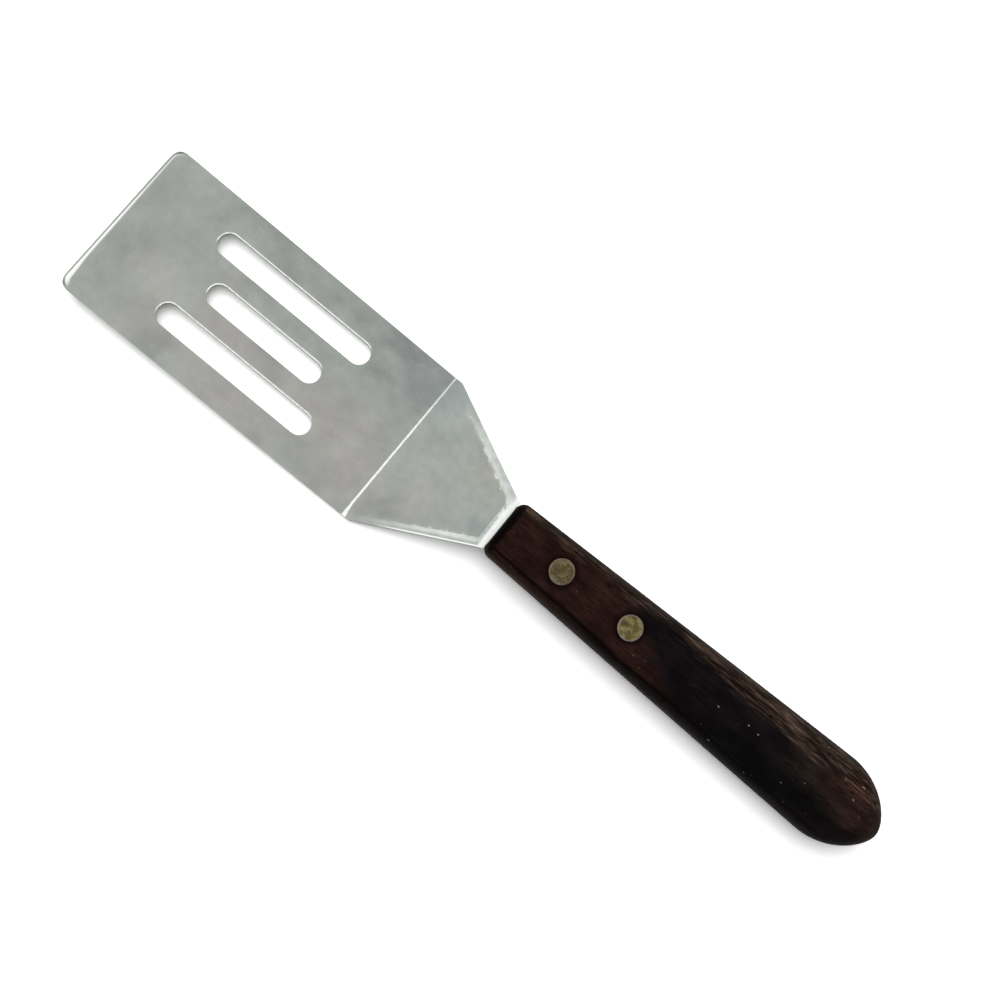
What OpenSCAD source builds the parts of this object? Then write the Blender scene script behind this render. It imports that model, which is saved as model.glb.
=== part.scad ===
// Slotted kitchen spatula: one stamped stainless sheet in a rosewood handle, held by two brass rivets.
// The blade lies flat on Z = 0 with its front edge at -X.
// The handle runs along +X and its belly touches Z = 0 too.
// The origin is below the middle of the whole length.

/* [Overall] */
// Length from the front edge of the blade to the end of the handle
overall_l = 275.5; // [240:0.5:320]
// Thickness of the stainless sheet
sheet_t = 1.2; // [0.8:0.1:1.6]

/* [Blade] */
// Length of the flat blade, from the front edge to the bend
blade_l = 101.6; // [80:0.1:120]
// Width of the blade at its front edge
blade_front_w = 51.4; // [44:0.1:70]
// Width of the blade at the bend
blade_heel_w = 50.8; // [44:0.1:60]
// Radius of the two front corners
blade_corner_r = 3.5; // [1:0.5:8]
// Length of the ground bevel behind the front edge
bevel_l = 1; // [0.5:0.1:4]
// Height that the bevel leaves at the front edge
edge_t = 0.5; // [0.3:0.1:0.7]

/* [Slots] */
// Width of each slot
slot_w = 6.9; // [5:0.1:9]
// Distance from one slot's centre line to the next
slot_pitch = 13.1; // [11:0.1:15]
// Length of the two outer slots
outer_slot_l = 54; // [30:0.5:65]
// Length of the middle slot
middle_slot_l = 39.5; // [20:0.5:60]
// Distance from the bend forward to the middle of the slots
slot_back = 49; // [42:0.1:52]

/* [Neck] */
// Length of the neck, from the bend to the front of the handle
neck_l = 36.6; // [28:0.1:50]
// Width of the neck where it meets the handle
neck_end_w = 16.4; // [15:0.1:17.5]
// Length of the sides that run straight on past the bend
neck_side_run = 2.7; // [2.5:0.1:6]
// Radius of the corner between the straight run and the tapering side
neck_corner_r = 3; // [2:0.5:8]
// Inner radius of the bend between blade and neck
heel_bend_r = 2.5; // [1:0.5:6]
// Inner radius of the bend between neck and tang
tang_bend_r = 3; // [1:0.5:6]
// Depth of the pressed panel below the rim round it, next to the handle
panel_sink = 0.8; // [0.4:0.1:1.4]
// Inner radius of the bends at the top and foot of the panel's walls
press_r = 0.15; // [0.1:0.05:0.6]
// Width of the flat rim beside the panel, next to the handle
rim_w = 1; // [0.6:0.1:2.5]
// Width of the flat rim next to the bend
rim_start_w = 0.4; // [0.2:0.1:2]
// Level run of the sheet in front of the handle
shoulder_l = 1.1; // [0.5:0.1:2]

/* [Tang] */
// Length of the half tang inside the handle
tang_l = 58; // [54:1:72]
// Width of the tang
tang_w = 12; // [10:0.5:12.5]
// Radius of the corners at the tang's end
tang_corner_r = 2; // [1:0.5:4]

/* [Handle] */
// Largest thickness of the handle
handle_t = 16; // [15:0.1:20]
// Thickness of the handle at its front
handle_front_t = 13.8; // [12:0.1:15]
// Width of the handle at its front
handle_front_w = 17.9; // [17:0.1:22]
// Largest width of the handle
handle_belly_w = 25.7; // [22:0.1:30]
// Radius that rounds the front end over
handle_front_r = 2.7; // [1:0.1:3.5]
// Length of the rounded butt
butt_l = 18.5; // [12:0.5:30]
// Length over which the butt thins to its tip
butt_thin_l = 12; // [8:0.5:20]

/* [Rivets] */
// Diameter of the flat rivet heads
rivet_head_d = 7.6; // [6.5:0.1:8.5]
// Thickness of the rivet heads
rivet_head_t = 1.3; // [1:0.1:2]
// Chamfer round the rim of the rivet heads
rivet_rim = 0.35; // [0.2:0.05:0.5]
// Height that a head stands proud of the wood
rivet_proud = 0.15; // [0.1:0.05:0.4]
// Outer diameter of the tubular shank
rivet_tube_d = 4.8; // [4:0.1:5.5]
// Diameter of the solid shank pressed into the tube
rivet_pin_d = 3; // [2:0.1:3.4]
// Distance from the handle's front to the first rivet
rivet_setback = 20.6; // [14:0.1:26]
// Distance from one rivet to the other
rivet_pitch = 24.5; // [20:0.1:26]

/* [Fits] */
// Clearance round the tang in its mortise
mortise_clearance = 0.15; // [0.1:0.05:0.3]
// Room left behind the tang's end
mortise_room = 1; // [0.5:0.5:2]
// Clearance between a rivet's tube and the hole in the tang
tube_clearance = 0.1; // [0.05:0.05:0.2]
// Room left at the end of each rivet shank
shank_room = 0.6; // [0.4:0.1:1.2]

/* [Hidden] */
$fn = 72;

// Places along the length
front_x = -overall_l / 2;
bend_x = front_x + blade_l;
handle_x = bend_x + neck_l;
butt_x = overall_l / 2;
handle_l = butt_x - handle_x;
belly_x = butt_x - butt_l;
shoulder_x = handle_x - shoulder_l;
slots_x = bend_x - slot_back;
rivet_xs = [handle_x + rivet_setback, handle_x + rivet_setback + rivet_pitch];

// Middle height of the tang and of the handle
tang_z = handle_t / 2;
// How far each cut runs past the face that it opens
overrun = 1;
// How far the neck's root reaches into the blade, and the tang into the neck's level shoulder
sheet_lap = 0.4;

// The neck's path in side view: a bend up, a straight slope and a bend back to level
heel_path_r = heel_bend_r + sheet_t / 2;
tang_path_r = tang_bend_r + sheet_t / 2;
bends_r = heel_path_r + tang_path_r;
path_run = shoulder_x - bend_x;
path_rise = tang_z - sheet_t / 2;
slope_l = sqrt(path_run * path_run + path_rise * path_rise - 2 * path_rise * bends_r);
slope_a = atan2(bends_r * path_run + slope_l * (path_rise - bends_r),
                slope_l * path_run - bends_r * (path_rise - bends_r));
slope_start_x = bend_x + heel_path_r * sin(slope_a);
slope_end_x = shoulder_x - tang_path_r * sin(slope_a);

// The neck's side in plan: a straight run, an arc and a straight taper
side_corner_x = bend_x + neck_side_run;
side_a = atan2((blade_heel_w - neck_end_w) / 2, handle_x - side_corner_x);
side_tangent = neck_corner_r * tan(side_a / 2);
corner_end_x = side_corner_x + side_tangent;

// The panel's walls are cosine curves, so wide that their bends have the pressed radius
wall_w = PI * sqrt((press_r + sheet_t / 2) * panel_sink / 2);
wall_x = shoulder_x - wall_w;

// Counts of facets on the formed surfaces.
// The handle's is even but no multiple of 4, so that a point of its section lies lowest.
heel_steps = 4;
corner_steps = 8;
slope_steps = 16;
wall_steps = 10;
panel_steps = 6;
handle_points = 54;
front_steps = 8;
body_steps = 14;
butt_steps = 18;

// Step taken to either side when a slope is measured
small_share = 0.00001;
// Shares of the cross parameter at which the panel ends and the flat rim begins
panel_share = 0.5;
rim_share = 0.9;
// Share of the sheet's section that the neck's root keeps inside the blade
root_share = 0.5;
// The section is a superellipse: these are its exponents at the handle's two ends
section_front_share = 3.6;
section_rear_share = 2.5;
// How quickly the handle widens, and how blunt its butt is in plan
widening_share = 1.05;
butt_plan_share = 1.5;
// Angle on the butt's arc where the small flat of its tip begins
tip_a = 86;

// A solid through a list of closed rings, with the same even number of points in each.
// Each end is closed in strips between a point and the one that mirrors it in the ring.
module loft(rings) {
    n = len(rings[0]);
    last = (len(rings) - 1) * n;
    points = [for (ring = rings) each ring];
    walls = [
        for (i = [0:len(rings) - 2], j = [0:n - 1])
            let (a = i * n + j, b = i * n + (j + 1) % n)
                each [[a, b, a + n], [b, b + n, a + n]]
    ];
    caps = [
        for (k = [0:n / 2 - 2])
            let (m = n - 1 - k)
                each [
                    [k, m, k + 1], [k + 1, m, m - 1],
                    [last + k, last + k + 1, last + m], [last + k + 1, last + m - 1, last + m]
                ]
    ];
    polyhedron(points = points, faces = concat(walls, caps), convexity = 6);
}

// Evenly spaced places from one end to just short of the other
function stations(from, to, steps) = [for (k = [0:steps - 1]) from + (to - from) * k / steps];

// Height of the middle of the sheet along the neck's edge
function path_z(x) =
    x <= bend_x ? sheet_t / 2 :
    x <= slope_start_x ? sheet_t / 2 + heel_path_r - sqrt(pow(heel_path_r, 2) - pow(x - bend_x, 2)) :
    x <= slope_end_x ? sheet_t / 2 + heel_path_r * (1 - cos(slope_a)) + (x - slope_start_x) * tan(slope_a) :
    x <= shoulder_x ? tang_z - tang_path_r + sqrt(pow(tang_path_r, 2) - pow(shoulder_x - x, 2)) :
    tang_z;

// Half of the neck's width
function neck_half_w(x) =
    x <= side_corner_x - side_tangent ? blade_heel_w / 2 :
    x <= side_corner_x + side_tangent * cos(side_a) ?
        blade_heel_w / 2 - neck_corner_r
            + sqrt(pow(neck_corner_r, 2) - pow(x - side_corner_x + side_tangent, 2)) :
    blade_heel_w / 2 - (x - side_corner_x) * tan(side_a);

// How far along the pressed panel x is, from 0 at the bend to 1 at the panel's end wall
function panel_run(x) = min(1, max(0, (x - side_corner_x) / (wall_x - side_corner_x)));

// The curve of a pressed wall, from 0 at its top to 1 at its foot
function wall_fall(way) = (1 - cos(180 * min(1, max(0, way)))) / 2;

// A point on the middle of the neck's sheet, with across going from -1 to 1
function neck_mid(x, across) =
    let (
        side = abs(across),
        run = panel_run(x),
        slant = cos(side_a),
        rim_y = neck_half_w(x) - (rim_start_w + (rim_w - rim_start_w) * run) / slant,
        panel_y = rim_y - wall_w / slant,
        y = lookup(side, [[0, 0], [panel_share, panel_y], [rim_share, rim_y], [1, neck_half_w(x)]]),
        end_fall = wall_fall((shoulder_x - x) / wall_w),
        side_fall = wall_fall((rim_share - side) / (rim_share - panel_share))
    )
    [x, across < 0 ? -y : y, path_z(x) - panel_sink * run * end_fall * side_fall];

// The sheet's normal there, from the neighbouring points on its middle
function neck_normal(x, across) =
    let (
        reach = sheet_t * small_share,
        twist = small_share,
        along = neck_mid(x + reach, across) - neck_mid(x - reach, across),
        aside = neck_mid(x, min(1, across + twist)) - neck_mid(x, max(-1, across - twist)),
        n = cross(along, aside)
    )
    n / norm(n);

function neck_ring(x) =
    let (
        half = concat(
            stations(0, panel_share, panel_steps / 2),
            stations(panel_share, rim_share, wall_steps),
            [rim_share, 1]
        ),
        places = concat([for (k = [len(half) - 1:-1:1]) -half[k]], half),
        back = [for (k = [len(places) - 1:-1:0]) places[k]],
        top = [for (a = places) neck_mid(x, a) + neck_normal(x, a) * sheet_t / 2],
        under = [for (a = back) neck_mid(x, a) - neck_normal(x, a) * sheet_t / 2]
    )
    concat(top, under);

// The end of the neck's root, inside the blade
function root_ring() =
    [
        for (p = neck_ring(bend_x))
            [bend_x - sheet_lap, p[1] * root_share, sheet_t / 2 + (p[2] - sheet_t / 2) * root_share]
    ];

// Places of the neck's sections: along the first bend, the corner of the sides, the slope and the wall
function neck_xs() = concat(
    stations(bend_x, slope_start_x, heel_steps),
    stations(slope_start_x, corner_end_x, corner_steps),
    stations(corner_end_x, wall_x, slope_steps),
    stations(wall_x, shoulder_x, wall_steps),
    [shoulder_x, handle_x]
);

// Half of the handle's width and thickness, without the rounded front end
function handle_half_w(x) =
    x <= belly_x ?
        (handle_front_w + (handle_belly_w - handle_front_w)
            * (1 - pow(1 - (x - handle_x) / (belly_x - handle_x), widening_share))) / 2 :
        handle_belly_w / 2 * pow(1 - pow((x - belly_x) * sin(tip_a) / butt_l, 2), 1 / butt_plan_share);
function handle_half_t(x) =
    x <= belly_x ?
        (handle_front_t
            + (handle_t - handle_front_t) * sin(90 * (x - handle_x) / (belly_x - handle_x))) / 2 :
        handle_t / 2 * sqrt(1 - pow(max(0, 1 - (butt_x - x) / butt_thin_l) * sin(tip_a), 2));
function front_inset(x) =
    x >= handle_x + handle_front_r ? 0 :
    handle_front_r - sqrt(pow(handle_front_r, 2) - pow(handle_x + handle_front_r - x, 2));
function section_power(x) =
    section_front_share + (section_rear_share - section_front_share) * (x - handle_x) / handle_l;

function handle_ring(x) =
    let (
        half_w = handle_half_w(x) - front_inset(x),
        half_t = handle_half_t(x) - front_inset(x),
        power = 2 / section_power(x)
    )
    [
        for (k = [0:handle_points - 1])
            let (a = -360 * (k + 0.5) / handle_points)
                [
                    x,
                    half_w * sign(cos(a)) * pow(abs(cos(a)), power),
                    tang_z + half_t * sign(sin(a)) * pow(abs(sin(a)), power)
                ]
    ];

function handle_xs() = concat(
    [for (k = [0:front_steps - 1]) handle_x + handle_front_r * (1 - cos(90 * k / front_steps))],
    stations(handle_x + handle_front_r, belly_x, body_steps),
    [for (k = [0:butt_steps]) belly_x + butt_l * sin(tip_a * k / butt_steps) / sin(tip_a)]
);

// A slot with round ends, cut right through the blade
module slot(length, y) {
    translate([slots_x, y, -overrun])
        linear_extrude(sheet_t + 2 * overrun) {
            square([length - slot_w, slot_w], center = true);
            for (end = [-1, 1])
                translate([end * (length - slot_w) / 2, 0])
                    circle(d = slot_w);
        }
}

module blade_plan() {
    flare_a = atan2((blade_front_w - blade_heel_w) / 2, blade_l);
    corner_y = blade_front_w / 2 - blade_corner_r * (tan(flare_a) + 1 / cos(flare_a));
    touch = [front_x + blade_corner_r * (1 + sin(flare_a)), corner_y + blade_corner_r * cos(flare_a)];
    polygon([
        [front_x, corner_y],
        touch,
        [bend_x, blade_heel_w / 2],
        [bend_x, -blade_heel_w / 2],
        [touch[0], -touch[1]],
        [front_x, -corner_y]
    ]);
    for (side = [-1, 1])
        translate([front_x + blade_corner_r, side * corner_y])
            circle(r = blade_corner_r);
}

module front_bevel() {
    bevel_rise = sheet_t - edge_t;
    past = overrun / bevel_l;
    translate([0, blade_front_w / 2 + overrun, 0])
        rotate([90, 0, 0])
            linear_extrude(blade_front_w + 2 * overrun)
                polygon([
                    [front_x - overrun, edge_t - bevel_rise * past],
                    [front_x + bevel_l + overrun, sheet_t + bevel_rise * past],
                    [front_x - overrun, sheet_t + bevel_rise * past]
                ]);
}

module tang_plan() {
    start_x = handle_x - sheet_lap;
    end_x = handle_x + tang_l;
    polygon([
        [start_x, tang_w / 2],
        [end_x - tang_corner_r, tang_w / 2],
        [end_x, tang_w / 2 - tang_corner_r],
        [end_x, tang_corner_r - tang_w / 2],
        [end_x - tang_corner_r, -tang_w / 2],
        [start_x, -tang_w / 2]
    ]);
    for (side = [-1, 1])
        translate([end_x - tang_corner_r, side * (tang_w / 2 - tang_corner_r)])
            circle(r = tang_corner_r);
}

module blade() {
    color([0.66, 0.67, 0.66])
        difference() {
            union() {
                linear_extrude(sheet_t)
                    blade_plan();
                loft(concat([root_ring()], [for (x = neck_xs()) neck_ring(x)]));
                translate([0, 0, tang_z - sheet_t / 2])
                    linear_extrude(sheet_t)
                        tang_plan();
            }
            front_bevel();
            slot(middle_slot_l, 0);
            for (side = [-1, 1])
                slot(outer_slot_l, side * slot_pitch);
            for (x = rivet_xs)
                translate([x, 0, tang_z - sheet_t / 2 - overrun])
                    cylinder(h = sheet_t + 2 * overrun, d = rivet_tube_d + 2 * tube_clearance);
        }
}

module mortise() {
    depth = tang_l + mortise_room;
    translate([handle_x - overrun, -tang_w / 2 - mortise_clearance, tang_z - sheet_t / 2])
        cube([depth + overrun, tang_w + 2 * mortise_clearance, sheet_t + mortise_clearance]);
}

// Height of a rivet head's outer face above the handle's middle
function rivet_reach(x) = handle_half_t(x) + rivet_proud;

module rivet_bore(x) {
    seat = rivet_reach(x) - rivet_head_t;
    translate([x, 0, tang_z - handle_t])
        cylinder(h = 2 * handle_t, d = rivet_tube_d);
    for (side = [0, 1])
        translate([x, 0, tang_z])
            mirror([0, 0, side])
                translate([0, 0, seat])
                    cylinder(h = handle_t, d = rivet_head_d);
}

module handle() {
    color([0.23, 0.12, 0.09])
        difference() {
            loft([for (x = handle_xs()) handle_ring(x)]);
            mortise();
            for (x = rivet_xs)
                rivet_bore(x);
        }
}

// Half of a head's section, from the middle of its face round to its seat
function head_outline(reach) = [
    [0, reach],
    [rivet_head_d / 2 - rivet_rim, reach],
    [rivet_head_d / 2, reach - rivet_rim],
    [rivet_head_d / 2, reach - rivet_head_t]
];

// The half with the solid shank, set from above
module rivet_upper(x) {
    seat = rivet_reach(x) - rivet_head_t;
    shank_end = shank_room - seat;
    color([0.62, 0.56, 0.38])
        translate([x, 0, tang_z])
            rotate_extrude()
                polygon(concat(head_outline(rivet_reach(x)), [
                    [rivet_pin_d / 2, seat],
                    [rivet_pin_d / 2, shank_end],
                    [0, shank_end]
                ]));
}

// The half with the tubular shank, set from below
module rivet_lower(x) {
    seat = rivet_reach(x) - rivet_head_t;
    shank_end = shank_room - seat;
    color([0.66, 0.58, 0.36])
        translate([x, 0, tang_z])
            mirror([0, 0, 1])
                rotate_extrude()
                    polygon(concat(head_outline(rivet_reach(x)), [
                        [rivet_tube_d / 2, seat],
                        [rivet_tube_d / 2, shank_end],
                        [rivet_pin_d / 2, shank_end],
                        [rivet_pin_d / 2, seat],
                        [0, seat]
                    ]));
}

blade();
handle();
rivet_upper(rivet_xs[0]);  // front_rivet_upper
rivet_lower(rivet_xs[0]);  // front_rivet_lower
rivet_upper(rivet_xs[1]);  // rear_rivet_upper
rivet_lower(rivet_xs[1]);  // rear_rivet_lower
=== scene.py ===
"""The looks of a slotted kitchen spatula: a stainless sheet in a rosewood handle with two brass rivets."""

from math import atan2, copysign, cos, pi, radians, sin, sqrt, tan

import bmesh
import bpy
from mathutils import Matrix, Vector


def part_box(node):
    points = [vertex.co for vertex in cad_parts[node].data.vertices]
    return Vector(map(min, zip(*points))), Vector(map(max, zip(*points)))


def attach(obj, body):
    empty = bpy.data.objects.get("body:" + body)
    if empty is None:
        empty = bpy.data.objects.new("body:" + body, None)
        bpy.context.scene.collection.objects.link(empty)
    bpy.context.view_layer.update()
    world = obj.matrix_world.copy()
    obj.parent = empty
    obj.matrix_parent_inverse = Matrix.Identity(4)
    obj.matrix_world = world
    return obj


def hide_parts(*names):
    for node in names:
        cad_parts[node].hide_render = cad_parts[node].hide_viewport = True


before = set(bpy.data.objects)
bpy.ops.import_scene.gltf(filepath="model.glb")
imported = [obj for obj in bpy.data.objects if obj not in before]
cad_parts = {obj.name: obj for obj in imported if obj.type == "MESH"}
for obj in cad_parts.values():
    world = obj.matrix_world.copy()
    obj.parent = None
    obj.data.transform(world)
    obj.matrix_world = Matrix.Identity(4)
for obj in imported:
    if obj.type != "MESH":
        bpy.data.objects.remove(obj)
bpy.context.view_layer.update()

# The camera hangs above the table and leans eight degrees to the near side, -Y, which is the lower left one
# in the picture. The spatula runs from the upper left of the picture to the lower right.
mm = 0.001
sensor_w = 36
lens_l = 51.84
camera_spot = Vector((-20.969, -51.153, 406.34)) * mm
camera_turn = (radians(4.7554), radians(-6.9468), radians(39.1297))

scene = bpy.context.scene
camera = bpy.data.objects.new("camera", bpy.data.cameras.new("camera"))
camera.data.sensor_width = sensor_w
camera.data.lens = lens_l
camera.location = camera_spot
camera.rotation_euler = camera_turn
scene.collection.objects.link(camera)
scene.camera = camera
scene.view_settings.view_transform = "Standard"

# The studio is a white table under a broad soft lamp, which leans towards the top of the picture.
# The table dips a little towards the blade's front, where a used spatula stands off it.
# What shines sees pale walls, brightest by the lamp, and a dimmer ceiling with a darker patch.
table_w = 3000 * mm
table_drop = 0.1 * mm
table_dip = 4 * mm
dip_end_x = -36 * mm
table_white = 0.985
shown_white = 1.46
lamp_spread = radians(70)
lamp_strength = 2.45
lamp_lean = radians(30)
lamp_heading = atan2(0.70, -0.71)
ambient_strength = 0.40
wall_strength = 1.05
far_wall_strength = 0.75
wall_start = 0.5
far_wall_start = -0.6
wall_top = 0.55
ceiling_strength = 0.58
ceiling_start = 0.88
patch_x = 0.07
patch_y = 0.22
patch_r = 0.24
patch_share = 0.80


def add(tree, kind, sockets=None, **settings):
    """Add a shader node, with each named socket set to a value or joined to another node's output."""
    node = tree.nodes.new("ShaderNode" + kind)
    for name, value in settings.items():
        setattr(node, name, value)
    for name, value in (sockets or {}).items():
        if isinstance(value, bpy.types.NodeSocket):
            tree.links.new(value, node.inputs[name])
        else:
            node.inputs[name].default_value = value
    return node


def calc(tree, operation, first, *others):
    """Join values by one Math operation, from left to right, and return the result."""
    for other in others or (0.0,):
        first = add(tree, "Math", {0: first, 1: other}, operation=operation).outputs[0]
    return first


def ramp(tree, value, start, end, low=0.0, high=1.0):
    """Go smoothly from low to high while value goes from start to end."""
    sockets = {"Value": value, "From Min": start, "From Max": end, "To Min": low, "To Max": high}
    return add(tree, "MapRange", sockets, interpolation_type="SMOOTHSTEP").outputs["Result"]


def distance(tree, first, second):
    """Length of the flat vector with these two parts."""
    squares = [calc(tree, "MULTIPLY", part, part) for part in (first, second)]
    return calc(tree, "SQRT", calc(tree, "ADD", *squares))


front_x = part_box("blade")[0][0]
bm = bmesh.new()
bmesh.ops.create_grid(bm, x_segments=3, y_segments=1, size=table_w / 2)
for vert in bm.verts:
    if abs(vert.co.x) < table_w / 3:
        vert.co.x = front_x if vert.co.x < 0 else dip_end_x
    vert.co.z = -table_drop - (table_dip if vert.co.x < dip_end_x else 0)
table_mesh = bpy.data.meshes.new("table")
bm.to_mesh(table_mesh)
bm.free()
table = bpy.data.objects.new("table", table_mesh)
scene.collection.objects.link(table)
table_paint = bpy.data.materials.new("white_table")
table_paint.use_nodes = True
paint = table_paint.node_tree
seen = add(paint, "LightPath").outputs["Is Camera Ray"]
white = add(paint, "Mix", {"Factor": seen, "A": table_white, "B": shown_white}).outputs["Result"]
chalk = add(paint, "BsdfDiffuse", {"Color": white}).outputs["BSDF"]
paint.links.new(chalk, paint.nodes["Material Output"].inputs["Surface"])
table.data.materials.append(table_paint)

lamp = bpy.data.objects.new("soft_lamp", bpy.data.lights.new("soft_lamp", "SUN"))
lamp.data.angle = lamp_spread
lamp.data.energy = lamp_strength
toward_lamp = Vector((sin(lamp_lean) * cos(lamp_heading), sin(lamp_lean) * sin(lamp_heading), cos(lamp_lean)))
lamp.rotation_euler = toward_lamp.to_track_quat("Z", "Y").to_euler()
lamp.visible_glossy = False
scene.collection.objects.link(lamp)

studio = bpy.data.worlds.new("studio")
studio.use_nodes = True
scene.world = studio
sky = studio.node_tree
direction = add(sky, "TexCoord").outputs["Generated"]
sky_x, sky_y, sky_z = add(sky, "SeparateXYZ", {"Vector": direction}).outputs
lampward = calc(sky, "MULTIPLY", sky_x, cos(lamp_heading))
lampward = calc(sky, "ADD", lampward, calc(sky, "MULTIPLY", sky_y, sin(lamp_heading)))
walls = ramp(sky, lampward, far_wall_start, wall_start, far_wall_strength, wall_strength)
patch_off = distance(sky, calc(sky, "SUBTRACT", sky_x, patch_x), calc(sky, "SUBTRACT", sky_y, patch_y))
ceiling = ramp(sky, patch_off, 0, patch_r, patch_share * ceiling_strength, ceiling_strength)
shown = ramp(sky, sky_z, wall_top, ceiling_start, walls, ceiling)
path = add(sky, "LightPath")
shiny = calc(sky, "MAXIMUM", path.outputs["Is Glossy Ray"], path.outputs["Is Transmission Ray"])
strength = add(sky, "Mix", {"Factor": shiny, "A": ambient_strength, "B": shown}).outputs["Result"]
strength = calc(sky, "MAXIMUM", strength, path.outputs["Is Camera Ray"])
sky.links.new(strength, sky.nodes["Background"].inputs["Strength"])
sky.nodes["Background"].inputs["Color"].default_value = (1, 1, 1, 1)

# The blade, the neck and the half tang are one stamped and pressed stainless sheet, scuffed by use.
# Three slots are punched through the flat blade and its front edge is ground. The neck has a pressed panel
# inside a raised rim, and ends in a level shoulder and the tang, which two rivets hold in the handle.
sheet_t = 1.2 * mm
blade_l = 101.6 * mm
blade_front_w = 51.4 * mm
blade_heel_w = 50.8 * mm
blade_corner_r = 3.5 * mm
bevel_l = 1 * mm
edge_t = 0.5 * mm
slot_w = 6.9 * mm
slot_pitch = 13.1 * mm
outer_slot_l = 54 * mm
middle_slot_l = 39.5 * mm
slot_back = 49 * mm
neck_l = 36.6 * mm
neck_end_w = 16.4 * mm
neck_side_run = 2.7 * mm
neck_corner_r = 3 * mm
heel_bend_r = 2.5 * mm
tang_bend_r = 3 * mm
panel_sink = 0.8 * mm
press_r = 0.15 * mm
rim_w = 1 * mm
rim_start_w = 0.4 * mm
shoulder_l = 1.1 * mm
tang_l = 58 * mm
tang_w = 12 * mm
tang_corner_r = 2 * mm
rivet_hole_d = 5 * mm
rivet_setback = 20.6 * mm
rivet_pitch = 24.5 * mm
edge_r = 0.12 * mm
edge_rounding_a = radians(50)
sharp_a = radians(18)
near = mm / 100
touching = mm / 10000
panel_share = 0.5
rim_share = 0.9
neck_steps = 240
across_steps = 60
corner_steps = 12
hole_steps = 48

handle_low, handle_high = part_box("handle")
tang_z = (handle_low[2] + handle_high[2]) / 2
bend_x = front_x + blade_l
handle_x = bend_x + neck_l
shoulder_x = handle_x - shoulder_l
wall_w = pi * sqrt((press_r + sheet_t / 2) * panel_sink / 2)
wall_x = shoulder_x - wall_w
slots_x = bend_x - slot_back
rivet_xs = [handle_x + rivet_setback, handle_x + rivet_setback + rivet_pitch]
heel_path_r = heel_bend_r + sheet_t / 2
tang_path_r = tang_bend_r + sheet_t / 2
bends_r = heel_path_r + tang_path_r
path_run = shoulder_x - bend_x
path_rise = tang_z - sheet_t / 2
slope_l = sqrt(path_run ** 2 + path_rise ** 2 - 2 * path_rise * bends_r)
slope_a = atan2(bends_r * path_run + slope_l * (path_rise - bends_r),
                slope_l * path_run - bends_r * (path_rise - bends_r))
slope_start_x = bend_x + heel_path_r * sin(slope_a)
slope_end_x = shoulder_x - tang_path_r * sin(slope_a)
side_corner_x = bend_x + neck_side_run
side_a = atan2((blade_heel_w - neck_end_w) / 2, handle_x - side_corner_x)
side_tangent = neck_corner_r * tan(side_a / 2)


def neck_z(x):
    """Height of the middle of the sheet along the neck's edge."""
    if x <= slope_start_x:
        return sheet_t / 2 + heel_path_r - sqrt(heel_path_r ** 2 - max(0, x - bend_x) ** 2)
    if x <= slope_end_x:
        return sheet_t / 2 + heel_path_r * (1 - cos(slope_a)) + (x - slope_start_x) * tan(slope_a)
    return tang_z - tang_path_r + sqrt(tang_path_r ** 2 - max(0, shoulder_x - x) ** 2)


def neck_half_w(x):
    """Half of the neck's width: a straight run, a rounded corner and a taper."""
    if x <= side_corner_x - side_tangent:
        return blade_heel_w / 2
    if x <= side_corner_x + side_tangent * cos(side_a):
        past = x - side_corner_x + side_tangent
        return blade_heel_w / 2 - neck_corner_r + sqrt(neck_corner_r ** 2 - past ** 2)
    return blade_heel_w / 2 - (x - side_corner_x) * tan(side_a)


def wall_fall(way):
    """The curve of a pressed wall, from 0 at its top to 1 at its foot."""
    return (1 - cos(pi * min(1, max(0, way)))) / 2


def neck_point(x, across):
    """A point on the middle of the neck's sheet, with across going from -1 to 1."""
    side = abs(across)
    run = min(1, max(0, (x - side_corner_x) / (wall_x - side_corner_x)))
    edge_y = neck_half_w(x)
    rim_y = edge_y - (rim_start_w + (rim_w - rim_start_w) * run) / cos(side_a)
    panel_y = rim_y - wall_w / cos(side_a)
    if side > rim_share:
        y = rim_y + (edge_y - rim_y) * (side - rim_share) / (1 - rim_share)
    elif side > panel_share:
        y = panel_y + (rim_y - panel_y) * (side - panel_share) / (rim_share - panel_share)
    else:
        y = panel_y * side / panel_share
    end_fall = wall_fall((shoulder_x - x) / wall_w)
    side_fall = wall_fall((rim_share - side) / (rim_share - panel_share))
    return Vector((x, copysign(y, across), neck_z(x) - panel_sink * run * end_fall * side_fall))


def in_order(bm, edges):
    """List edges by their index, so that each run makes the same mesh."""
    bm.edges.index_update()
    return sorted(edges, key=lambda edge: edge.index)


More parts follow.
